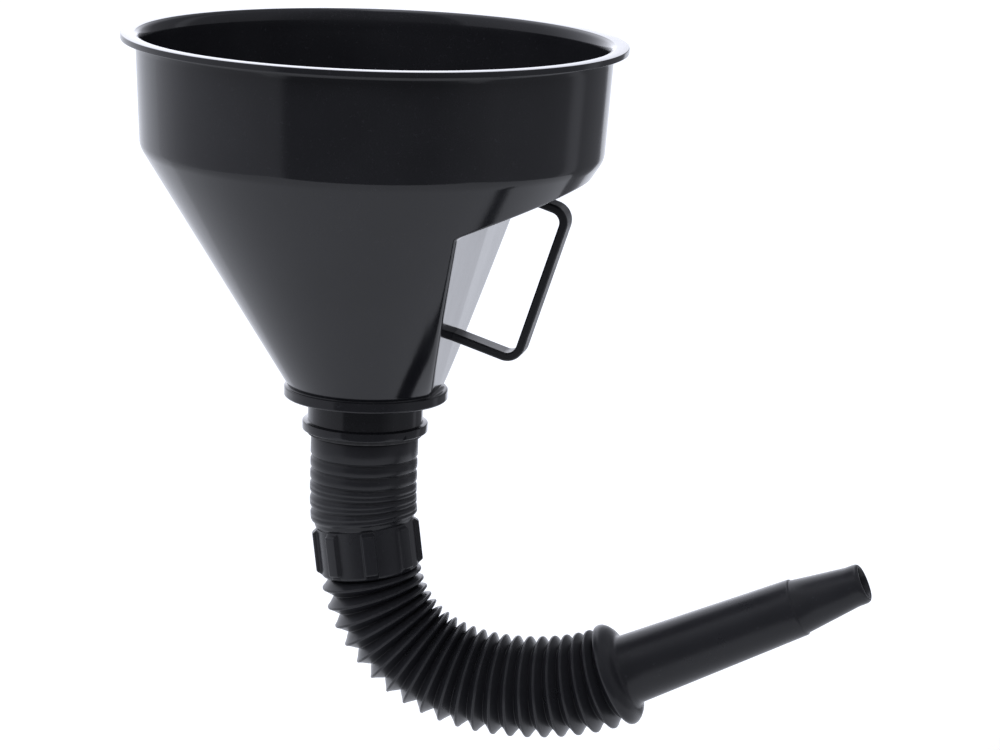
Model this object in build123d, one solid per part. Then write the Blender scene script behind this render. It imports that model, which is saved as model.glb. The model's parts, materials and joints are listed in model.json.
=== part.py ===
from build123d import *
import os
from math import cos, pi, radians, sin

# A pouring funnel with a screw-on bendable spout. Millimetres, +Z up.
# The origin is the centre of the mouth, level with the top of the rim.
# The handle, its pocket and the bend of the hose all lie towards +X.

# Bowl: rim lip, band and cone
RIM_RADIUS = 80.0
RIM_INNER_RADIUS = 75.6
RIM_THICKNESS = 1.9
RIM_STEP_RADIUS = 77.5
RIM_STEP_BOTTOM = -4.6
LIP_CHAMFER_BOTTOM = -2.2  # the mouth narrows from the rim down to here
BAND_TOP_RADIUS = 75.2
BAND_RADIUS = 73.5
BAND_BOTTOM = -35.4
CONE_END_RADIUS = 25.0
CONE_BOTTOM = -112.4
BAND_CORNER = 5.0
RIM_ROUND = 0.8
WALL = 1.8
CONE_WALL = 2.13  # the wall measured level, across the sloping cone
FLANGE_RADIUS = 26.3
FLANGE_BOTTOM = -115.6
THROAT_RADIUS = 16.2
THROAT_TOP = -114.4

# Pocket: a leaning flat face and a slanted shelf that meet in an inside corner
CORNER_X = 38.9
CORNER_Z = -53.6
FACE_LEAN = 15.0
SHELF_SLOPE = 21.3
REACH = 95.0  # how far the cutting wedge runs past the bowl

# Handle: a flat strap bent to a U
STRAP_WIDTH = 8.5
STRAP_THICKNESS = 2.7
STRAP_BEND = 4.6
STRAP_EDGE = 0.7
GRIP_TOP = (64.3, -51.3)
GRIP_BOTTOM = (49.4, -99.6)
GRIP_SLOPE = 17.1
UPPER_ARM = 17.0
LOWER_ARM = 26.0

# Neck: collar, ring lip, coarse thread ridges, shoulder and short spout
NECK_RADIUS = 18.5
LIP_RADIUS = 20.2
LIP_TOP = -123.6
LIP_BOTTOM = -126.6
THREAD_CORE = 13.9
THREAD_CREST = 15.2
THREAD_PITCH = 4.1
THREAD_TURNS = 4
THREAD_START = -131.2
THREAD_ROOT_HALF = 1.1
THREAD_CREST_HALF = 0.4
SHOULDER_TOP = -147.0
SHOULDER_CHAMFER = 1.3
SPOUT_TOP = -150.4
SPOUT_BASE_RADIUS = 9.7
SPOUT_TIP_RADIUS = 8.0
SPOUT_BEAD_RADIUS = 8.5
SPOUT_BOTTOM = -176.5
SPOUT_WALL = 1.2
SPOUT_BASE_BORE = 8.1
BEAD_HEIGHT = 1.2
NECK_BORE = 12.2
NECK_FUNNEL = 5.0  # the bore narrows over this height, inside the collar

# Strainer, resting on the throat
STRAINER_RADIUS = 20.6
STRAINER_INNER = 17.6
STRAINER_TOP = -110.2
STRAINER_BOTTOM = -112.7
STRAINER_TAPER = 1.2
GAUZE_RADIUS = 18.6
GAUZE_THICKNESS = 0.5

# Hose: washer, ringed socket, soft rings and finned grip sleeve
SEAL_TOP = -126.65
SEAL_BOTTOM = -127.85
SEAL_RADIUS = 18.6
SOCKET_TOP = -127.9
SOCKET_RADIUS = 17.3
SOCKET_BORE = 15.6
GROOVE_RADIUS = 16.4
FIRST_GROOVE = -135.2
RING_PITCH = 4.1
RING_SLOPE = 0.9  # height of the slope from a groove to a ring's face
SOCKET_RINGS = 3
SOFT_RINGS = 2
SOFT_BEND = 2.73
SOFT_GAP = 1.2
SLEEVE_END_GAP = 0.7
EDGE = 0.5
SLEEVE_LENGTH = 18.0
SLEEVE_RADIUS = 15.9
SLEEVE_BORE = 14.4
FIN_COUNT = 8
FIN_WIDTH = 4.0
FIN_REACH = 17.4
FIN_LENGTH = 14.6
FIN_TURN = -73.0
FIN_ROOT = 15.1  # fins start inside the sleeve's wall, so that they join it

# Bellows: each convolution is one ring, and the hose bends at the valleys between them
RING_COUNT = 20
PITCH = 4.86
CREST_RADIUS = 16.35
VALLEY_RADIUS = 13.3
RING_HALF = 1.4
CREST_HALF = 0.45
CREST_DROP = 0.4
SKIN = 0.9
BEND_MEAN = 5.13
BEND_SWING = 2.22
BEND_PEAK = 4.5

# Nozzle: rounded collar, stepped taper and a short cylindrical tip
COLLAR_RADIUS = 16.9
COLLAR_EDGE = 0.9
COLLAR_FACE = 1.2
COLLAR_BACK = 2.4
ROOT = 4.6
ROOT_RADIUS = 11.3
STEP = 64.5
STEP_RADIUS = 9.3
AFTER_STEP_RADIUS = 8.8
STEP_HEIGHT = 0.3
TIP_LAND = 4.2
TIP = 87.1
TIP_RADIUS = 6.5
TIP_ROUND = 0.6
NOZZLE_WALL = 1.5

os.makedirs("parts", exist_ok=True)


def save(name, shape):
    export_step(shape, f"parts/{name}.step")


def turned(points):
    """A solid of revolution about Z from an outline of (radius, height) points."""
    outline = Polyline(*[(r, 0, z) for r, z in points], close=True)
    return revolve(make_face(outline), Axis.Z)


def circle_edges(shape, radius):
    circles = shape.edges().filter_by(GeomType.CIRCLE)
    return circles.filter_by(lambda edge: abs(edge.radius - radius) < 0.01)


def walk(place, length):
    """Move a (x, z, tilt) place along the hose. Tilt is measured from straight down."""
    x, z, tilt = place
    return (x + length * sin(radians(tilt)), z - length * cos(radians(tilt)), tilt)


def put(place, shape):
    """Set a shape, made hanging down from the origin, at a place on the hose."""
    x, z, tilt = place
    return Pos(x, 0, z) * Rot(0, -tilt, 0) * shape


# ---- bowl ----------------------------------------------------------------------------

def bowl_outside():
    """The bowl as if it were full: rim, band and cone, without the flange."""
    full = turned([
        (0, 0), (RIM_RADIUS, 0), (RIM_RADIUS, -RIM_THICKNESS),
        (RIM_STEP_RADIUS, -RIM_THICKNESS), (RIM_STEP_RADIUS, RIM_STEP_BOTTOM),
        (BAND_TOP_RADIUS, RIM_STEP_BOTTOM), (BAND_RADIUS, BAND_BOTTOM),
        (CONE_END_RADIUS, CONE_BOTTOM), (0, CONE_BOTTOM)])
    full = fillet(circle_edges(full, BAND_RADIUS), BAND_CORNER)
    return fillet(circle_edges(full, RIM_RADIUS), RIM_ROUND)


def bowl_inside():
    """The space that the bowl holds, down through the throat."""
    over = 1.0
    band_top = BAND_TOP_RADIUS - WALL
    return turned([
        (0, over), (RIM_INNER_RADIUS + over, over), (band_top, LIP_CHAMFER_BOTTOM),
        (BAND_RADIUS - WALL, BAND_BOTTOM), (CONE_END_RADIUS - CONE_WALL, CONE_BOTTOM),
        (THROAT_RADIUS, THROAT_TOP), (THROAT_RADIUS, FLANGE_BOTTOM - over),
        (0, FLANGE_BOTTOM - over)])


def pocket(inset):
    """The wedge cut from the cone's side. A positive inset moves its walls into the bowl."""
    lean = radians(FACE_LEAN)
    slope = radians(SHELF_SLOPE)
    foot = CORNER_Z - REACH
    x = CORNER_X - inset
    z = CORNER_Z + inset
    outline = Polyline(
        (x, 0, z), (REACH, 0, z + (REACH - x) * sin(slope) / cos(slope)), (REACH, 0, foot),
        (x + (foot - z) * sin(lean) / cos(lean), 0, foot), close=True)
    return extrude(make_face(outline), REACH, dir=(0, 1, 0), both=True)


def bowl():
    outside = bowl_outside() - pocket(0)
    flange = turned([(0, CONE_BOTTOM), (FLANGE_RADIUS, CONE_BOTTOM),
                     (FLANGE_RADIUS, FLANGE_BOTTOM), (0, FLANGE_BOTTOM)])
    return outside + flange - (bowl_inside() - pocket(WALL))


def handle():
    slope = radians(GRIP_SLOPE)
    upper = (GRIP_TOP[0] - UPPER_ARM * cos(slope), 0, GRIP_TOP[1] + UPPER_ARM * sin(slope))
    lower = (GRIP_BOTTOM[0] - LOWER_ARM * cos(slope), 0, GRIP_BOTTOM[1] + LOWER_ARM * sin(slope))
    top = (GRIP_TOP[0], 0, GRIP_TOP[1])
    bottom = (GRIP_BOTTOM[0], 0, GRIP_BOTTOM[1])
    route = FilletPolyline(upper, top, bottom, lower, radius=STRAP_BEND)
    start = Plane(origin=route @ 0, x_dir=(0, 1, 0), z_dir=route % 0)
    strap = sweep(start * RectangleRounded(STRAP_WIDTH, STRAP_THICKNESS, STRAP_EDGE), path=route)
    return strap - (bowl_outside() - pocket(0))


# ---- neck and strainer ---------------------------------------------------------------

def thread_ridges():
    """Outline points of the thread ridges, from the top down."""
    points = []
    for turn in range(THREAD_TURNS):
        z = THREAD_START - turn * THREAD_PITCH
        points += [(THREAD_CORE, z + THREAD_ROOT_HALF), (THREAD_CREST, z + THREAD_CREST_HALF),
                   (THREAD_CREST, z - THREAD_CREST_HALF), (THREAD_CORE, z - THREAD_ROOT_HALF)]
    return points


def neck():
    """Collar, lip, thread, shoulder and spout, with the bore that runs down through them."""
    collar_and_lip = [
        (THROAT_RADIUS, FLANGE_BOTTOM), (NECK_RADIUS, FLANGE_BOTTOM), (NECK_RADIUS, LIP_TOP),
        (LIP_RADIUS, LIP_TOP), (LIP_RADIUS, LIP_BOTTOM), (THREAD_CORE, LIP_BOTTOM)]
    spout = [
        (THREAD_CORE, SHOULDER_TOP),
        (THREAD_CORE - SHOULDER_CHAMFER, SHOULDER_TOP - SHOULDER_CHAMFER),
        (SPOUT_BASE_RADIUS, SPOUT_TOP), (SPOUT_TIP_RADIUS, SPOUT_BOTTOM + BEAD_HEIGHT + EDGE),
        (SPOUT_BEAD_RADIUS, SPOUT_BOTTOM + BEAD_HEIGHT), (SPOUT_BEAD_RADIUS, SPOUT_BOTTOM)]
    bore = [
        (SPOUT_TIP_RADIUS - SPOUT_WALL, SPOUT_BOTTOM), (SPOUT_BASE_BORE, SPOUT_TOP),
        (NECK_BORE, SHOULDER_TOP + 1.0), (NECK_BORE, LIP_BOTTOM),
        (THROAT_RADIUS, LIP_BOTTOM + NECK_FUNNEL)]
    return turned(collar_and_lip + thread_ridges() + spout + bore)


def seal():
    return turned([(SOCKET_BORE, SEAL_TOP), (SEAL_RADIUS, SEAL_TOP),
                   (SEAL_RADIUS, SEAL_BOTTOM), (SOCKET_BORE, SEAL_BOTTOM)])


def gauze():
    middle = (STRAINER_TOP + STRAINER_BOTTOM) / 2
    return Pos(0, 0, middle) * Cylinder(GAUZE_RADIUS, GAUZE_THICKNESS)


def strainer_ring():
    ring = turned([(STRAINER_INNER, STRAINER_TOP), (STRAINER_RADIUS, STRAINER_TOP),
                   (STRAINER_RADIUS - STRAINER_TAPER, STRAINER_BOTTOM),
                   (STRAINER_INNER, STRAINER_BOTTOM)])
    return ring - gauze()


# ---- hose ----------------------------------------------------------------------------

def ring_profile(top, bottom):
    """Outline points of one outer ring of the socket, from its top groove to its bottom one."""
    return [(GROOVE_RADIUS, top), (SOCKET_RADIUS, top - RING_SLOPE),
            (SOCKET_RADIUS, bottom + RING_SLOPE), (GROOVE_RADIUS, bottom)]


def socket():
    points = [(SOCKET_BORE, SOCKET_TOP), (SOCKET_RADIUS - EDGE, SOCKET_TOP),
              (SOCKET_RADIUS, SOCKET_TOP - EDGE), (SOCKET_RADIUS, FIRST_GROOVE + RING_SLOPE)]
    for ring in range(SOCKET_RINGS):
        top = FIRST_GROOVE - ring * RING_PITCH
        points += ring_profile(top, top - RING_PITCH)[:3]
    last = FIRST_GROOVE - SOCKET_RINGS * RING_PITCH
    return turned(points + [(GROOVE_RADIUS, last), (SOCKET_BORE, last)])


def soft_ring():
    bottom = -RING_PITCH
    return turned(ring_profile(-SOFT_GAP, bottom) + [(SOCKET_BORE, bottom), (SOCKET_BORE, -SOFT_GAP)])


def fin():
    """One fin of the grip sleeve, with chamfered ends, on the sleeve's +X side."""
    top = -(SLEEVE_LENGTH - FIN_LENGTH + SOFT_GAP - SLEEVE_END_GAP) / 2
    bottom = top - FIN_LENGTH
    slant = FIN_REACH - SLEEVE_RADIUS
    outline = Polyline((FIN_ROOT, 0, top), (SLEEVE_RADIUS, 0, top), (FIN_REACH, 0, top - slant),
                       (FIN_REACH, 0, bottom + slant), (SLEEVE_RADIUS, 0, bottom),
                       (FIN_ROOT, 0, bottom), close=True)
    return extrude(make_face(outline), FIN_WIDTH / 2, dir=(0, 1, 0), both=True)


def sleeve():
    bottom = SLEEVE_END_GAP - SLEEVE_LENGTH
    body = turned([(SLEEVE_BORE, -SOFT_GAP), (SLEEVE_RADIUS - EDGE, -SOFT_GAP),
                   (SLEEVE_RADIUS, -SOFT_GAP - EDGE), (SLEEVE_RADIUS, bottom + EDGE),
                   (SLEEVE_RADIUS - EDGE, bottom), (SLEEVE_BORE, bottom)])
    for k in range(FIN_COUNT):
        body += Rot(0, 0, FIN_TURN + k * 360 / FIN_COUNT) * fin()
    return body


def bellows_ring():
    """One convolution, centred on its crest."""
    inner = VALLEY_RADIUS - SKIN
    shoulder = CREST_RADIUS - CREST_DROP
    return turned([(VALLEY_RADIUS, RING_HALF), (shoulder, CREST_HALF), (CREST_RADIUS, 0),
                   (shoulder, -CREST_HALF), (VALLEY_RADIUS, -RING_HALF),
                   (inner, -RING_HALF), (shoulder - SKIN, 0), (inner, RING_HALF)])


def collar():
    """The thick end ring of the bellows, from its valley side to the nozzle's root."""
    inner = VALLEY_RADIUS - SKIN
    return turned([(VALLEY_RADIUS, RING_HALF), (COLLAR_RADIUS - COLLAR_EDGE, COLLAR_EDGE),
                   (COLLAR_RADIUS, 0), (COLLAR_RADIUS, -COLLAR_FACE),
                   (COLLAR_RADIUS - COLLAR_FACE, -COLLAR_BACK),
                   (ROOT_RADIUS, -ROOT), (ROOT_RADIUS - NOZZLE_WALL, -ROOT), (inner, RING_HALF)])


def nozzle():
    inside_tip = TIP_RADIUS - NOZZLE_WALL
    land_top = TIP_LAND - TIP
    return turned([
        (ROOT_RADIUS, -ROOT), (STEP_RADIUS, -STEP), (AFTER_STEP_RADIUS, -STEP - STEP_HEIGHT),
        (TIP_RADIUS, land_top), (TIP_RADIUS, TIP_ROUND - TIP), (TIP_RADIUS - TIP_ROUND, -TIP),
        (inside_tip, -TIP), (inside_tip, land_top),
        (AFTER_STEP_RADIUS - NOZZLE_WALL, -STEP), (ROOT_RADIUS - NOZZLE_WALL, -ROOT)])


def bend_step(index):
    """How far the hose turns at one valley, in degrees."""
    return BEND_MEAN + BEND_SWING * cos(2 * pi * (index - BEND_PEAK) / (RING_COUNT + 1))


def turn(place, angle):
    return (place[0], place[1], place[2] + angle)


def build_hose():
    """Save the parts below the socket, each one turned a little further than the one before it."""
    place = (0.0, FIRST_GROOVE - SOCKET_RINGS * RING_PITCH, 0.0)
    for k in range(SOFT_RINGS):
        place = turn(place, SOFT_BEND)
        save(f"flex_ring_{k + 1}", put(place, soft_ring()))
        place = walk(place, RING_PITCH)
    place = turn(place, SOFT_BEND)
    save("grip_sleeve", put(place, sleeve()))
    place = walk(place, SLEEVE_LENGTH)
    for k in range(RING_COUNT):
        middle = walk(turn(place, bend_step(k)), PITCH / 2)
        save(f"hose_ring_{k + 1:02d}", put(middle, bellows_ring()))
        place = walk(middle, PITCH / 2)
    end = walk(turn(place, bend_step(RING_COUNT)), PITCH / 2)
    save("nozzle_collar", put(end, collar()))
    save("nozzle", put(end, nozzle()))


save("funnel_bowl", bowl())
save("handle", handle())
save("neck_fitting", neck())
save("neck_seal", seal())
save("strainer_ring", strainer_ring())
save("strainer_gauze", gauze())
save("hose_socket", socket())
build_hose()
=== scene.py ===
import json
import math

import bpy
import numpy as np
from mathutils import Matrix, Vector

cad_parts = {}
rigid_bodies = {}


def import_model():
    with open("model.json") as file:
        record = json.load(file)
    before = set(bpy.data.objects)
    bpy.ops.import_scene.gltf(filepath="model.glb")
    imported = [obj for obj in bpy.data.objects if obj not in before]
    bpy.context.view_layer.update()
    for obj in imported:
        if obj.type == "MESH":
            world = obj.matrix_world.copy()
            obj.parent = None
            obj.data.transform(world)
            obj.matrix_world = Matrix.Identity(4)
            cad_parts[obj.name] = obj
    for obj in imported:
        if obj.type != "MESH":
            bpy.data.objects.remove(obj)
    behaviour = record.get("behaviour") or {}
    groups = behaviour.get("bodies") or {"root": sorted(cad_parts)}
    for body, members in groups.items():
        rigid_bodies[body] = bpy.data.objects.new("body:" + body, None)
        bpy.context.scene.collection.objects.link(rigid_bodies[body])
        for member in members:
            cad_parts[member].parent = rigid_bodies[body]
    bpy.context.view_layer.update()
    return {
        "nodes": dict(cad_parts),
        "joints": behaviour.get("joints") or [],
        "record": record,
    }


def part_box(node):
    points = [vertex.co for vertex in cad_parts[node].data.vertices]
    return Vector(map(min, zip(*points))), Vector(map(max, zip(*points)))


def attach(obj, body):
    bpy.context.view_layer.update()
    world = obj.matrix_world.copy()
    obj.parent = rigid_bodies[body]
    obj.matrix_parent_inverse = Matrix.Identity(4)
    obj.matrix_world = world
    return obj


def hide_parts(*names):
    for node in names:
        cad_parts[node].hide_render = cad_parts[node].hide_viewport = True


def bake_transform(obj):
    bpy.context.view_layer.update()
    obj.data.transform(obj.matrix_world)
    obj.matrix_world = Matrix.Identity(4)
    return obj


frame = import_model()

# Everything is in metres, in the frame of the CAD part: the funnel's axis is Z, the origin is the
# centre of the mouth, and the handle and the bend of the hose lie towards +X.

MM = 0.001
RECORD = frame["record"]
NODES = frame["nodes"]


# ---- numbers read from the frame ------------------------------------------------------


def hinge_points():
    """The hinges down the hose, from the socket to the nozzle."""
    hinges = [j for j in frame["joints"] if j["type"] == "hinge" and j["name"] != "hose_unscrew"]
    return [np.array(j["pos_m"], float) for j in hinges], [(j["parent"], j["child"]) for j in hinges]


HINGES, PAIRS = hinge_points()
TIP_MOUNT = next(m for m in RECORD["mounts"] if m["name"] == "nozzle_tip")
NOZZLE_AXIS = np.array(TIP_MOUNT["axis"], float)
SIDE = np.array([0.0, 1.0, 0.0])
RIM_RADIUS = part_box("funnel_bowl")[1][0]
FLANGE_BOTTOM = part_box("funnel_bowl")[0][2]
SEGMENTS = 128


def segment_axes():
    """The way each stretch of hose points: the socket, then one for each hinge's child."""
    axes = [np.array([0.0, 0.0, -1.0])]
    for here, after in zip(HINGES, HINGES[1:]):
        axes.append((after - here) / np.linalg.norm(after - here))
    axes.append(NOZZLE_AXIS / np.linalg.norm(NOZZLE_AXIS))
    return axes


AXES = segment_axes()


# ---- mesh helpers ---------------------------------------------------------------------

def make_piece(name, points, faces, material):
    """A smooth-shaded mesh object with one material and one slot."""
    mesh = bpy.data.meshes.new(name)
    mesh.from_pydata([tuple(p) for p in points], [], faces)
    mesh.validate()
    piece = bpy.data.objects.new(name, mesh)
    bpy.context.scene.collection.objects.link(piece)
    mesh.materials.append(material)
    mesh.polygons.foreach_set("use_smooth", [True] * len(mesh.polygons))
    return piece


def loop_faces(rows, around):
    """Quads between rows of points that each go once round. The last row joins the first."""
    faces = []
    for i in range(rows):
        a = i * around
        b = ((i + 1) % rows) * around
        for j in range(around):
            k = (j + 1) % around
            faces.append((a + j, a + k, b + k, b + j))
    return faces


def soften(points, radius, steps=3):
    """Round the corners of a closed outline of (radius, height) points."""
    count = len(points)
    out = []
    for i, here in enumerate(points):
        here = np.array(here, float)
        before = np.array(points[i - 1], float)
        after = np.array(points[(i + 1) % count], float)
        to_before = before - here
        to_after = after - here
        reach = min(radius, 0.45 * np.linalg.norm(to_before), 0.45 * np.linalg.norm(to_after))
        start = here + to_before / np.linalg.norm(to_before) * reach
        end = here + to_after / np.linalg.norm(to_after) * reach
        for t in np.linspace(0, 1, steps + 1):
            out.append((1 - t) ** 2 * start + 2 * t * (1 - t) * here + t * t * end)
    return np.array(out)


def fill_in(outline, spacing):
    """Add points along the long sides of a closed outline."""
    out = []
    for here, after in zip(outline, np.roll(outline, -1, axis=0)):
        pieces = max(1, int(np.ceil(np.linalg.norm(after - here) / spacing)))
        for t in np.arange(pieces) / pieces:
            out.append(here + (after - here) * t)
    return np.array(out)


def lathe(name, outline, material, origin=(0, 0, 0), axis=(0, 0, 1), around=SEGMENTS, shape=None):
    """Turn a closed (radius, height) outline in millimetres about an axis through origin.
    shape(radius, height, angle) may change the radius for fins or threads."""
    axis = np.array(axis, float)
    cross = np.cross(SIDE, axis)
    cross /= np.linalg.norm(cross)
    angle = np.arange(around) / around * 2 * math.pi
    rows = []
    for r, h in outline:
        radius = np.full(around, r) if shape is None else shape(r, h, angle)
        ring = radius[:, None] * (np.cos(angle)[:, None] * cross + np.sin(angle)[:, None] * SIDE)
        rows.append(np.array(origin) + (ring + h * axis) * MM)
    points = np.concatenate(rows)
    return make_piece(name, points, loop_faces(len(rows), around), material)


def step_up(x, low, high):
    """A smooth rise from 0 at low to 1 at high."""
    t = np.clip((x - low) / (high - low), 0, 1)
    return t * t * (3 - 2 * t)


def soft_min(a, b, width):
    """The smaller of two values, with the corner between them rounded."""
    h = np.clip(0.5 + 0.5 * (b - a) / width, 0, 1)
    return b * (1 - h) + a * h - width * h * (1 - h)


def soft_max(a, b, width):
    return -soft_min(-a, -b, width)


# ---- materials ------------------------------------------------------------------------

class Nodes:
    """Short names for building one node material."""

    def __init__(self, name):
        self.material = bpy.data.materials.new(name)
        self.material.use_nodes = True
        self.tree = self.material.node_tree
        self.shader = self.tree.nodes["Principled BSDF"]
        self.place = self.tree.nodes.new("ShaderNodeTexCoord").outputs["Object"]

    def link(self, a, b):
        self.tree.links.new(a, b)

    def node(self, kind, **settings):
        node = self.tree.nodes.new(kind)
        for key, value in settings.items():
            setattr(node, key, value)
        return node

    def noise(self, scale, detail=3.0, roughness=0.5, stretch=(1, 1, 1)):
        mapping = self.node("ShaderNodeMapping")
        mapping.inputs["Scale"].default_value = stretch
        self.link(self.place, mapping.inputs["Vector"])
        noise = self.node("ShaderNodeTexNoise")
        noise.inputs["Scale"].default_value = scale
        noise.inputs["Detail"].default_value = detail
        noise.inputs["Roughness"].default_value = roughness
        self.link(mapping.outputs["Vector"], noise.inputs["Vector"])
        return noise.outputs["Fac"]

    def ramp(self, source, low, high, at_low=0.0, at_high=1.0):
        ramp = self.node("ShaderNodeMapRange")
        ramp.inputs["From Min"].default_value = low
        ramp.inputs["From Max"].default_value = high
        ramp.inputs["To Min"].default_value = at_low
        ramp.inputs["To Max"].default_value = at_high
        self.link(source, ramp.inputs["Value"])
        return ramp.outputs["Result"]

    def mix(self, factor, a, b):
        mix = self.node("ShaderNodeMix", data_type="RGBA")
        self.link(factor, mix.inputs["Factor"])
        for socket, value in (("A", a), ("B", b)):
            target = next(s for s in mix.inputs if s.name == socket and s.type == "RGBA")
            if isinstance(value, tuple):
                target.default_value = (*value, 1)
            else:
                self.link(value, target)
        return next(s for s in mix.outputs if s.type == "RGBA")

    def bump(self, height, strength, distance, normal=None):
        bump = self.node("ShaderNodeBump")
        bump.inputs["Strength"].default_value = strength
        bump.inputs["Distance"].default_value = distance
        self.link(height, bump.inputs["Height"])
        if normal is not None:
            self.link(normal, bump.inputs["Normal"])
        return bump.outputs["Normal"]


def moulded_plastic(name, dark, light, rough_low, rough_high, peel, grain, shine=0.36):
    """Black moulded plastic: faint cloudy colour, uneven gloss, flow ripple and fine grain."""
    m = Nodes(name)
    cloud = m.ramp(m.noise(28, 4), 0.35, 0.7)
    dust = m.ramp(m.noise(900, 2, 0.7), 0.62, 0.8, 0, 0.35)
    base = m.mix(cloud, dark, light)
    m.link(m.mix(dust, base, tuple(3.0 * c for c in light)), m.shader.inputs["Base Color"])
    gloss = m.ramp(m.noise(60, 5, 0.6), 0.3, 0.75, rough_low, rough_high)
    m.link(gloss, m.shader.inputs["Roughness"])
    ripple = m.bump(m.noise(70, 2, 0.4, (1, 1, 0.35)), peel, 0.0012)
    fine = m.bump(m.noise(2600, 3, 0.6), grain, 0.00012, ripple)
    m.link(fine, m.shader.inputs["Normal"])
    m.shader.inputs["IOR"].default_value = 1.5
    m.shader.inputs["Specular IOR Level"].default_value = shine
    return m.material


def steel_wire():
    m = Nodes("strainer_steel_wire")
    m.shader.inputs["Metallic"].default_value = 1.0
    m.link(m.mix(m.ramp(m.noise(400, 3), 0.3, 0.7), (0.42, 0.42, 0.43), (0.62, 0.62, 0.63)),
           m.shader.inputs["Base Color"])
    m.link(m.ramp(m.noise(900, 2), 0.3, 0.7, 0.22, 0.42), m.shader.inputs["Roughness"])
    m.link(m.bump(m.noise(3000, 2), 0.2, 0.00005), m.shader.inputs["Normal"])
    return m.material


def rubber():
    m = Nodes("seal_black_rubber")
    m.link(m.mix(m.ramp(m.noise(300, 4), 0.3, 0.7), (0.016, 0.016, 0.017), (0.034, 0.034, 0.035)),
           m.shader.inputs["Base Color"])
    m.link(m.ramp(m.noise(500, 3), 0.3, 0.7, 0.6, 0.8), m.shader.inputs["Roughness"])
    m.link(m.bump(m.noise(1800, 3), 0.35, 0.0001), m.shader.inputs["Normal"])
    return m.material


GLOSS = moulded_plastic("funnel_gloss_black", (0.0068, 0.007, 0.0086), (0.0098, 0.0101, 0.0122),
                        0.09, 0.15, 0.05, 0.02)
SATIN = moulded_plastic("hose_satin_black", (0.0078, 0.008, 0.0098), (0.0112, 0.0115, 0.0138),
                        0.26, 0.36, 0.08, 0.05, 0.3)
HANDLE = moulded_plastic("handle_matt_black", (0.0072, 0.0075, 0.0092), (0.0104, 0.0108, 0.013),
                         0.3, 0.42, 0.06, 0.05, 0.36)
RUBBER = rubber()
WIRE = steel_wire()


# ---- bowl -----------------------------------------------------------------------------

WALL = 1.8
LEVEL_WALL = 2.13  # the cone's wall measured level
BAND_BOTTOM = -35.4
CONE_BOTTOM = -112.4
BAND_RADIUS = 73.5
CONE_END = 25.0
CORNER = (38.9, -53.6)  # radius and height where the pocket's face meets its shelf
LEAN = math.tan(math.radians(15.0))
SLOPE = math.tan(math.radians(21.3))
RIDGE = 0.012  # fall of the pocket's face to each side of its middle line, per millimetre
FACE_PROUD = 0.6
LEAST_FACING = 0.08  # smallest cosine of the angle from the handle at which the pocket is worked out
BAND_TOP = 75.15
BAND_DRAFT = 0.055  # widening of the band towards the rim, per millimetre
AROUND_BOWL = 512


def bowl_radius(z, angle, inset):
    """Radius of the cone and band at a height, with the pocket's flat face and shelf cut in."""
    slope = (BAND_RADIUS - CONE_END) / (BAND_BOTTOM - CONE_BOTTOM)
    level = LEVEL_WALL if inset else 0.0
    straight = WALL if inset else 0.0
    cone = CONE_END + slope * (z - CONE_BOTTOM) - level
    band = BAND_RADIUS + (z - BAND_BOTTOM) * BAND_DRAFT - straight
    plain = soft_min(cone, band, 1.0) * np.ones_like(angle)
    facing = np.cos(angle)
    across = np.sin(angle) * plain
    x, height = CORNER[0] - inset, CORNER[1] + inset
    face = x + (z - height) * LEAN + FACE_PROUD - RIDGE * np.sqrt(across ** 2 + 4.0)
    shelf = x + (z - height) / SLOPE
    cut = soft_max(face, shelf * np.ones_like(face), 2.0)
    reach = np.where(facing > LEAST_FACING, cut / np.maximum(facing, LEAST_FACING), 1e3)
    return soft_min(plain, reach, 1.2)


def bowl_heights():
    """Heights of the rows down the band and cone, closest together over the shelf."""
    return np.concatenate([np.linspace(-6, -34, 15), np.linspace(-34.6, -60, 76),
                           np.linspace(-61, -111.8, 44)])


def build_bowl():
    """The rim lip, band, cone with its pocket, flange and inside wall as one skin."""
    around = AROUND_BOWL
    angle = np.arange(around) / around * 2 * math.pi
    rim = RIM_RADIUS / MM
    top = soften([(75.6, 0.0), (rim, 0.0), (rim, -1.9), (76.1, -2.1), (75.5, -2.9), (75.25, -4.4),
                  (BAND_TOP, -6), (73.3, -6), (73.4, -2.4)], 0.3, 4)
    split = int(np.argmin(np.abs(top - np.array([BAND_TOP, -5.4])).sum(axis=1)))
    rows = [(np.full(around, r), h) for r, h in top[:split]]
    rows += [(bowl_radius(z, angle, 0.0), z) for z in bowl_heights()]
    bottom = FLANGE_BOTTOM / MM
    flange = [(26.0, -112.3), (26.3, -112.6), (26.3, -112.9), (26.3, -115.0), (26.3, -115.3),
              (26.0, bottom), (24.0, bottom), (16.25, bottom), (16.2, bottom + 0.2), (16.2, -114.5)]
    rows += [(np.full(around, r), h) for r, h in [(25.2, -112.25)] + flange]
    rows += [(np.full(around, r), h) for r, h in [(16.6, -114.2), (22.4, -112.3)]]
    rows += [(bowl_radius(z, angle, WALL), z) for z in bowl_heights()[::-1]]
    inner_lip = [(73.35, -3.6), (73.45, -2.9), (73.7, -2.1), (74.2, -1.1), (74.8, -0.4)]
    rows += [(np.full(around, r), h) for r, h in inner_lip]
    points = np.concatenate([
        np.stack([r * np.cos(angle), r * np.sin(angle), np.full(around, h)], axis=1) for r, h in rows]) * MM
    piece = make_piece("bowl_shell", points, loop_faces(len(rows), around), GLOSS)
    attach(piece, "funnel")
    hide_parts("funnel_bowl")


# ---- neck, seal and strainer ----------------------------------------------------------

THREAD_PITCH = 4.1
THREAD_TOP = -129.2
THREAD_END = -146.4
THREAD_CORE = 13.9
THREAD_DEPTH = 1.3


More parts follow.
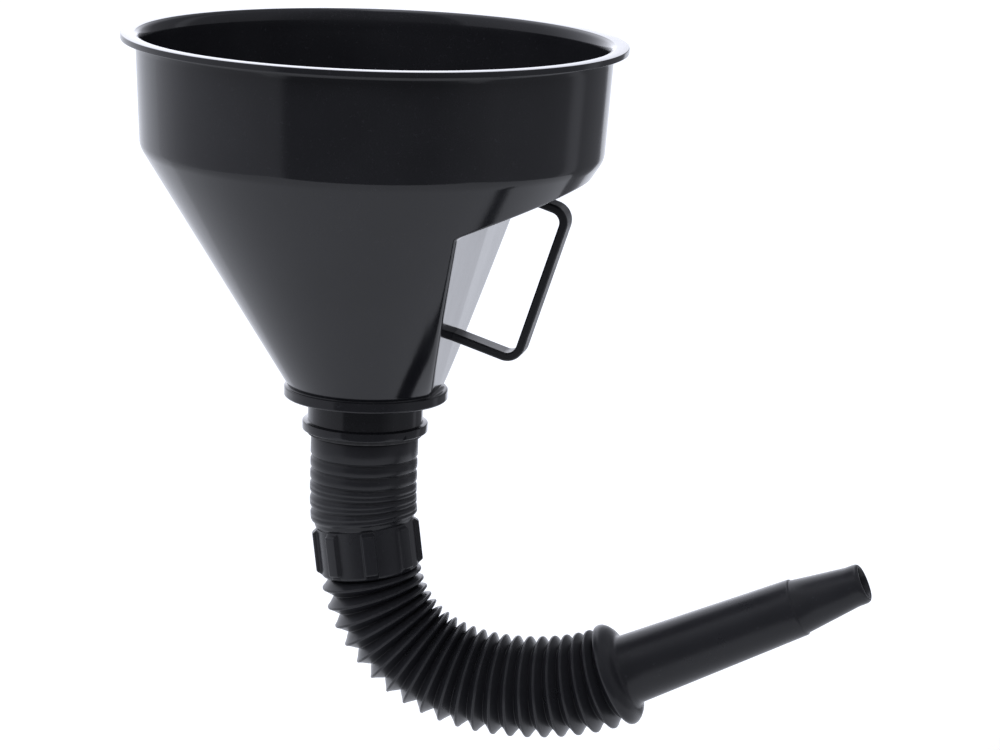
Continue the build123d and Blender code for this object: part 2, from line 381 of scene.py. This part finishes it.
def thread_shape(r, h, angle):
    """A single-start thread that fades in and out at its ends."""
    if not (THREAD_END - 1 < h < THREAD_TOP + 1 and abs(r - THREAD_CORE) < 0.4):
        return np.full(len(angle), r)
    turn = (h / THREAD_PITCH - angle / (2 * math.pi)) % 1.0
    ridge = step_up(0.5 - np.abs(turn - 0.5), 0.13, 0.36)
    fade = step_up(h, THREAD_END - 0.6, THREAD_END + 2.0) * (1 - step_up(h, THREAD_TOP - 1.6, THREAD_TOP))
    return r + THREAD_DEPTH * ridge * fade


def build_neck():
    """The neck, its lip, the threaded part and the spout."""
    bottom = FLANGE_BOTTOM / MM
    core = [(THREAD_CORE, h) for h in np.linspace(-127.2, -146.8, 80)]
    upper = soften([(16.2, bottom), (18.5, bottom), (18.5, -123.5), (20.2, -123.7), (20.2, -126.5),
                    (13.9, -126.6), (13.9, -127.2), (13.0, -127.2)], 0.35)
    cut = int(np.argmin(np.abs(upper - np.array([13.9, -127.1])).sum(axis=1)))
    lower = soften([(13.0, -146.8), (13.9, -146.9), (12.7, -148.5), (9.7, -150.4), (8.05, -174.6),
                    (8.3, -175.1), (8.3, -176.3), (6.8, -176.3), (8.0, -150.6), (12.2, -146.2),
                    (12.2, -126.8), (16.2, -121.6)], 0.5)
    outline = np.concatenate([upper[2:cut], np.array(core), lower[5:-1]])
    piece = lathe("threaded_neck", outline, GLOSS, around=192, shape=thread_shape)
    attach(piece, "funnel")
    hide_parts("neck_fitting")


def build_seal():
    """The flat washer under the neck's lip."""
    outline = soften([(15.6, -126.65), (18.6, -126.65), (18.6, -127.85), (15.6, -127.85)], 0.3)
    piece = lathe("seal_washer", outline, RUBBER)
    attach(piece, "seal")
    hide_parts("neck_seal")


GAUZE_SPACING = 1.05
GAUZE_RADIUS = 18.2
WIRE_RADIUS = 0.13
WIRE_SIDES = 6


def build_strainer():
    """The strainer's rim and its woven gauze."""
    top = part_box("strainer_ring")[1][2] / MM
    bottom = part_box("strainer_ring")[0][2] / MM
    outline = soften([(17.6, top), (20.6, top), (20.6, top - 0.9), (19.4, bottom), (17.6, bottom)], 0.3)
    ring = lathe("strainer_rim", outline, SATIN)
    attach(ring, "strainer")
    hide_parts("strainer_ring")
    level = (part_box("strainer_gauze")[0][2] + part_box("strainer_gauze")[1][2]) / 2 / MM
    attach(woven_gauze(level), "strainer")


def woven_gauze(level):
    """Wires over and under each other, cut to the strainer's circle."""
    spacing = GAUZE_SPACING
    wire = WIRE_RADIUS
    reach = GAUZE_RADIUS
    sides = WIRE_SIDES
    lift = wire * 0.95
    points = []
    faces = []
    count = int(reach / spacing)
    for direction in (0, 1):
        for k in range(-count, count + 1):
            offset = k * spacing
            half = math.sqrt(reach ** 2 - offset ** 2)
            steps = max(8, int(half * 2 / spacing * 5))
            along = np.linspace(-half, half, steps)
            phase = k + direction
            height = lift * np.cos(math.pi * (along / spacing + phase))
            start = len(points)
            for s, h in zip(along, height):
                for corner in range(sides):
                    turn = 2 * math.pi * corner / sides
                    side = offset + wire * math.cos(turn)
                    up = level + h + wire * math.sin(turn)
                    x, y = (s, side) if direction else (side, s)
                    points.append((x * MM, y * MM, up * MM))
            for i in range(steps - 1):
                a = start + i * sides
                for j in range(sides):
                    n = (j + 1) % sides
                    faces.append((a + j, a + n, a + sides + n, a + sides + j))
            faces.append(tuple(start + j for j in range(sides)))
            faces.append(tuple(start + (steps - 1) * sides + j for j in range(sides)))
    piece = make_piece("woven_gauze", points, faces, WIRE)
    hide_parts("strainer_gauze")
    return piece


# ---- hose -----------------------------------------------------------------------------

SOCKET_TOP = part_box("hose_socket")[1][2] / MM
RING_PITCH = 4.1
CREST = 16.35
VALLEY = 13.15
SLEEVE_RADIUS = 15.9
SLEEVE_BORE = 14.4
RING_RADIUS = 17.3
RING_GROOVE = 16.3
BELLOWS_SKIN = 1.0
FIRST_BELLOWS_SKIN = 0.7  # thinner, so that it clears the spout in the tightest bend
SOFT_RING_SKIN = 1.2
BEND_SHARE = 0.8  # the part of each sleeve of hose over which it turns
FINS = 8
FIN_PHASE = 253.0
FIN_WIDTH = 4.0
FIN_HEIGHT = 1.5
FIN_TOP = 1.9
FIN_BOTTOM = 17.2


def bend_piece(name, index, outline):
    """A closed sleeve of hose that crosses one hinge. The outline's heights are millimetres past
    the hinge, and its turn from one direction to the other is spread evenly over the valley."""
    hinge = HINGES[index]
    before, after = AXES[index], AXES[index + 1]
    heights = outline[:, 1]
    low, high = heights.min(), heights.max()
    angle = np.arange(SEGMENTS) / SEGMENTS * 2 * math.pi
    rows = []
    for r, h in outline:
        turn = float(step_up(np.array(h), low * BEND_SHARE, high * BEND_SHARE))
        axis = before * (1 - turn) + after * turn
        axis /= np.linalg.norm(axis)
        cross = np.cross(SIDE, axis)
        centre = hinge + (before if h < 0 else after) * h * MM
        ring = r * (np.cos(angle)[:, None] * cross + np.sin(angle)[:, None] * SIDE)
        rows.append(centre + ring * MM)
    points = np.concatenate(rows)
    piece = make_piece(name, points, loop_faces(len(rows), SEGMENTS), SATIN)
    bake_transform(piece)
    return piece


def skin(outer, thickness):
    """Close an outer line of (radius, height) points with an inner line inside it."""
    outer = np.array(outer, float)
    inner = outer[::-1].copy()
    inner[:, 0] -= thickness
    return np.concatenate([outer, inner])


def bellows_line(half):
    """Half a convolution down to the valley and up again, from crest to crest."""
    shape = [(0, 0.0), (0.05, 0.01), (0.08, 0.05), (0.12, 0.14), (0.22, 0.36), (0.36, 0.66), (0.44, 0.84),
             (0.48, 0.95), (0.5, 0.99)]
    line = [(CREST - (CREST - VALLEY) * d, (s - 0.5) * 2 * half) for s, d in shape]
    line[-1] = (VALLEY, 0.0)
    return line + [(r, -h) for r, h in line[-2::-1]]


def build_bellows():
    """One convolution for each hinge, from crest to crest over the valley."""
    first = next(i for i, pair in enumerate(PAIRS) if pair[1] == "hose_ring_01")
    for index in range(first, len(PAIRS)):
        here = HINGES[index]
        after = HINGES[index + 1] if index + 1 < len(HINGES) else None
        pitch = np.linalg.norm((after if after is not None else 2 * here - HINGES[index - 1]) - here) / MM
        line = bellows_line(pitch / 2)
        if index == first:
            line = [(SLEEVE_RADIUS - 0.9, -1.6), (SLEEVE_RADIUS - 1.1, -1.1), (VALLEY + 0.5, -0.5)] \
                + line[len(line) // 2:]
        outline = skin(line, FIRST_BELLOWS_SKIN if index == first else BELLOWS_SKIN)
        piece = bend_piece(f"bellows_{index - first + 1:02d}", index, outline)
        child = PAIRS[index][1]
        if child != "nozzle":
            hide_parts(child)


def ring_face(top, bottom):
    """Outline of one crowned socket ring between two grooves."""
    return [(RING_GROOVE, top), (RING_RADIUS - 0.35, top - 0.45), (RING_RADIUS - 0.05, top - 1.0),
            (RING_RADIUS, (top + bottom) / 2), (RING_RADIUS - 0.05, bottom + 1.0),
            (RING_RADIUS - 0.35, bottom + 0.45)]


def build_socket():
    """The smooth cuff and the rings that don't bend."""
    first = -135.2
    last = HINGES[0][2] / MM
    line = [(15.9, SOCKET_TOP), (16.8, SOCKET_TOP), (17.15, SOCKET_TOP - 0.25), (17.3, SOCKET_TOP - 0.8),
            (17.3, -131.5), (17.3, first + 1.0), (16.95, first + 0.45)]
    top = first
    while top - RING_PITCH > last - 0.1:
        line += ring_face(top, top - RING_PITCH)
        top -= RING_PITCH
    keep = [p for p in line if p[1] > last + RING_PITCH / 2 - 0.01]
    inner = [(15.6, p[1]) for p in keep[::-1][::2]]
    outline = np.array(keep + inner)
    piece = lathe("socket_cuff", outline, SATIN)
    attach(piece, "socket")
    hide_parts("hose_socket")


def build_soft_rings():
    """The grooves that bend between the socket and the grip."""
    half = RING_PITCH / 2
    for index in (0, 1, 2):
        up = [(17.3, -half), (17.25, -1.0), (16.95, -0.45), (16.3, 0.0)]
        if index < 2:
            line = up + [(16.95, 0.45), (17.25, 1.0), (17.3, half)]
        else:
            line = up + [(16.25, 0.3), (16.1, 0.9), (SLEEVE_RADIUS, 1.8)]
        piece = bend_piece(f"soft_ring_{index + 1}", index, skin(line, SOFT_RING_SKIN))
        if index < 2:
            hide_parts(PAIRS[index][1])


def sleeve_shape(r, h, angle):
    """Raised fins with sloping ends on the outside of the sleeve."""
    if r < SLEEVE_BORE + 0.6:
        return np.full(len(angle), r)
    turned = (angle - math.radians(FIN_PHASE) + math.pi / FINS) % (2 * math.pi / FINS) - math.pi / FINS
    across = np.abs(turned) * SLEEVE_RADIUS
    ridge = 1 - step_up(across, FIN_WIDTH / 2 - 0.25, FIN_WIDTH / 2 + 0.35)
    ends = step_up(h, FIN_TOP, FIN_TOP + 1.6) * (1 - step_up(h, FIN_BOTTOM - 1.6, FIN_BOTTOM))
    return r + FIN_HEIGHT * ridge * ends


def build_sleeve():
    """The grip with its fins."""
    index = 2
    length = np.linalg.norm(HINGES[3] - HINGES[2]) / MM
    low, high = 1.7, length - 0.1
    outer = [(SLEEVE_RADIUS, h) for h in np.linspace(low, high - 1.0, 70)]
    outer += [(SLEEVE_RADIUS - 0.15, high - 0.6), (SLEEVE_RADIUS - 0.5, high - 0.15),
              (SLEEVE_RADIUS - 0.9, high)]
    inner = [(SLEEVE_BORE, high)] + [(SLEEVE_BORE, h) for h in np.linspace(high, low, 6)]
    outline = np.array(outer + inner)
    piece = lathe("finned_grip", outline, SATIN, origin=HINGES[index], axis=AXES[index + 1],
                  around=384, shape=sleeve_shape)
    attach(piece, "grip_sleeve")
    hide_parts("grip_sleeve")


def build_nozzle():
    """The rounded collar and the stepped, tapered nozzle beyond it."""
    hinge = HINGES[-1]
    half = np.linalg.norm(HINGES[-1] - HINGES[-2]) / MM / 2
    end = float(np.dot(np.array(TIP_MOUNT["pos_m"]) - hinge, AXES[-1])) / MM + 2.2
    root = half + 4.6
    step = half + 64.5
    collar = [(CREST, half - 0.5), (16.75, half - 0.15), (16.9, half + 0.5), (16.7, half + 1.3),
              (16.0, half + 2.3), (14.8, half + 3.3), (13.2, half + 4.0), (12.1, half + 4.5),
              (11.55, half + 5.2)]
    barrel = [(11.3, root + 1.4), (9.34, step - 0.5), (9.25, step - 0.12), (9.0, step + 0.1),
              (8.8, step + 0.4), (6.55, end - 4.6), (6.5, end - 4.0), (6.5, end - 1.6), (6.4, end - 0.9),
              (6.1, end - 0.3), (5.6, end)]
    inside = [(5.3, end), (5.05, end - 0.3), (5.0, end - 4.2), (7.2, step + 1.0), (9.7, root + 1.0),
              (13.0, half + 1.0), (15.0, half - 0.4)]
    outline = fill_in(np.array(collar + barrel + inside), 6.0)
    piece = lathe("tapered_nozzle", outline, SATIN, origin=hinge, axis=AXES[-1])
    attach(piece, "nozzle")
    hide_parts("nozzle", "nozzle_collar")


# ---- stage, light and camera ----------------------------------------------------------

CAMERA_DISTANCE = 1.1588
CAMERA_HEIGHT = 0.1467
CAMERA_TURN = math.radians(14.0)
CAMERA_YAW = math.radians(2.12)
CAMERA_PITCH = math.radians(12.37)
CAMERA_ROLL = math.radians(-2.03)
LENS = 133.0
AIM = Vector((0, 0, -0.1))
FLOOR_LEVEL = -0.42
FLOOR_GREY = (0.12, 0.12, 0.12, 1)
FLOOR_GLOW = (0.93, 0.96, 1.06, 1)
ROOM_TINT = (0.93, 0.95, 1.05)
LIGHT_SIZE = (1.1, 1.1)


def build_camera():
    """A long lens a little above the mouth, turned slightly towards the handle."""
    data = bpy.data.cameras.new("camera")
    data.sensor_width = 36.0
    data.lens = LENS
    camera = bpy.data.objects.new("camera", data)
    bpy.context.scene.collection.objects.link(camera)
    heading = CAMERA_YAW - CAMERA_TURN
    forward = Vector((math.sin(heading) * math.cos(CAMERA_PITCH),
                      math.cos(heading) * math.cos(CAMERA_PITCH), -math.sin(CAMERA_PITCH)))
    right = Vector((math.cos(heading), -math.sin(heading), 0))
    down = forward.cross(right)
    tilted_right = right * math.cos(CAMERA_ROLL) + down * math.sin(CAMERA_ROLL)
    tilted_down = down * math.cos(CAMERA_ROLL) - right * math.sin(CAMERA_ROLL)
    matrix = Matrix((tilted_right, -tilted_down, -forward)).transposed().to_4x4()
    matrix.translation = Vector((CAMERA_DISTANCE * math.sin(CAMERA_TURN),
                                 -CAMERA_DISTANCE * math.cos(CAMERA_TURN), CAMERA_HEIGHT))
    camera.matrix_world = matrix
    bpy.context.scene.camera = camera


def around_camera(turn, distance, height):
    """A place at an angle from the camera's side of the object, counted to the camera's right."""
    heading = CAMERA_TURN + math.radians(turn)
    return Vector((distance * math.sin(heading), -distance * math.cos(heading), height))


def area_light(name, turn, distance, height, power):
    """A square light that points at the middle of the object."""
    data = bpy.data.lights.new(name, "AREA")
    data.shape = "RECTANGLE"
    data.size, data.size_y = LIGHT_SIZE
    data.energy = power
    light = bpy.data.objects.new(name, data)
    bpy.context.scene.collection.objects.link(light)
    light.location = around_camera(turn, distance, height)
    aim = AIM - light.location
    light.rotation_euler = aim.to_track_quat("-Z", "Y").to_euler()
    return light


# Each sheet's name, outline as (to the camera's right, towards the camera) and brightness.
FLOORS = [("near_floor", [(-0.75, 0.62), (0.75, 0.62), (0.75, -0.45), (-0.75, -0.45)], 0.84),
          ("far_floor", [(-0.75, -0.45), (0.24, -0.45), (7.4, -14.0), (-9.0, -14.0), (-9.0, -8.0)], 1.1)]


def build_floor():
    """A pale sheet from a little in front of the object to far behind it, brighter behind."""
    for name, outline, glow in FLOORS:
        corners = []
        for across, towards in outline:
            x = across * math.cos(CAMERA_TURN) + towards * math.sin(CAMERA_TURN)
            y = across * math.sin(CAMERA_TURN) - towards * math.cos(CAMERA_TURN)
            corners.append((x, y, FLOOR_LEVEL))
        mesh = bpy.data.meshes.new(name)
        mesh.from_pydata(corners, [], [tuple(range(len(corners)))])
        floor = bpy.data.objects.new(name, mesh)
        bpy.context.scene.collection.objects.link(floor)
        m = Nodes(f"pale_{name}")
        m.shader.inputs["Base Color"].default_value = FLOOR_GREY
        m.shader.inputs["Roughness"].default_value = 0.9
        m.shader.inputs["Specular IOR Level"].default_value = 0.0
        m.shader.inputs["Emission Color"].default_value = FLOOR_GLOW
        m.shader.inputs["Emission Strength"].default_value = glow
        mesh.materials.append(m.material)


# Brightness of the room by the angle from the camera's side, counted to the camera's right.
ROOM = [(-180, 2.4), (-140, 1.2), (-100, 0.8), (-46, 0.62), (-43, 0.2), (30, 0.2), (62, 0.42),
        (108, 0.34), (113, 0.6), (119, 0.6), (123, 0.3), (148, 0.24), (164, 0.7), (180, 2.4)]


def build_world():
    """A white background, and a room that is dark on the camera's side and bright behind."""
    world = bpy.data.worlds.new("studio")
    world.use_nodes = True
    bpy.context.scene.world = world
    tree = world.node_tree
    background = tree.nodes["Background"]

    def add(kind, **settings):
        node = tree.nodes.new(kind)
        for key, value in settings.items():
            setattr(node, key, value)
        return node

    direction = add("ShaderNodeTexCoord").outputs["Generated"]
    turned = add("ShaderNodeMapping", vector_type="POINT")
    turned.inputs["Rotation"].default_value = (0, 0, -CAMERA_TURN)
    tree.links.new(direction, turned.inputs["Vector"])
    parts = add("ShaderNodeSeparateXYZ")
    tree.links.new(turned.outputs["Vector"], parts.inputs[0])
    towards = add("ShaderNodeMath", operation="MULTIPLY")
    towards.inputs[1].default_value = -1.0
    tree.links.new(parts.outputs["Y"], towards.inputs[0])
    angle = add("ShaderNodeMath", operation="ARCTAN2")
    tree.links.new(parts.outputs["X"], angle.inputs[0])
    tree.links.new(towards.outputs[0], angle.inputs[1])
    along = add("ShaderNodeMapRange")
    along.inputs["From Min"].default_value = -math.pi
    along.inputs["From Max"].default_value = math.pi
    tree.links.new(angle.outputs[0], along.inputs["Value"])
    ramp = add("ShaderNodeValToRGB")
    ramp.color_ramp.interpolation = "LINEAR"
    while len(ramp.color_ramp.elements) < len(ROOM):
        ramp.color_ramp.elements.new(0.5)
    for element, (degrees, level) in zip(ramp.color_ramp.elements, ROOM):
        element.position = (degrees + 180) / 360
    for element, (degrees, level) in zip(ramp.color_ramp.elements, ROOM):
        element.color = (*(level * tint for tint in ROOM_TINT), 1)
    tree.links.new(along.outputs["Result"], ramp.inputs["Fac"])
    path = add("ShaderNodeLightPath")
    mix = add("ShaderNodeMix", data_type="RGBA")
    tree.links.new(path.outputs["Is Camera Ray"], mix.inputs["Factor"])
    a, b = (next(k for k in mix.inputs if k.name == n and k.type == "RGBA") for n in ("A", "B"))
    tree.links.new(ramp.outputs["Color"], a)
    b.default_value = (1, 1, 1, 1)
    tree.links.new(next(k for k in mix.outputs if k.type == "RGBA"), background.inputs["Color"])
    background.inputs["Strength"].default_value = 1.0


# Name, angle from the camera's side, distance, height and power.
LIGHTS = [("top_soft", -20, 0.3, 1.5, 16), ("front_soft", 5, 1.2, 1.2, 20),
          ("left_soft", -70, 1.4, 0.9, 9)]


def build_lights():
    """Soft lights that are not mirrored in the plastic: what it mirrors is the room."""
    for name, turn, distance, height, power in LIGHTS:
        light = area_light(name, turn, distance, height, power)
        light.visible_glossy = False


build_camera()
build_world()
build_floor()
build_lights()
build_bowl()
build_neck()
build_seal()
build_strainer()
build_socket()
build_soft_rings()
build_sleeve()
build_bellows()
build_nozzle()
NODES["handle"].data.materials.clear()
NODES["handle"].data.materials.append(HANDLE)

scene = bpy.context.scene
scene.view_settings.view_transform = "Standard"
scene.view_settings.look = "None"
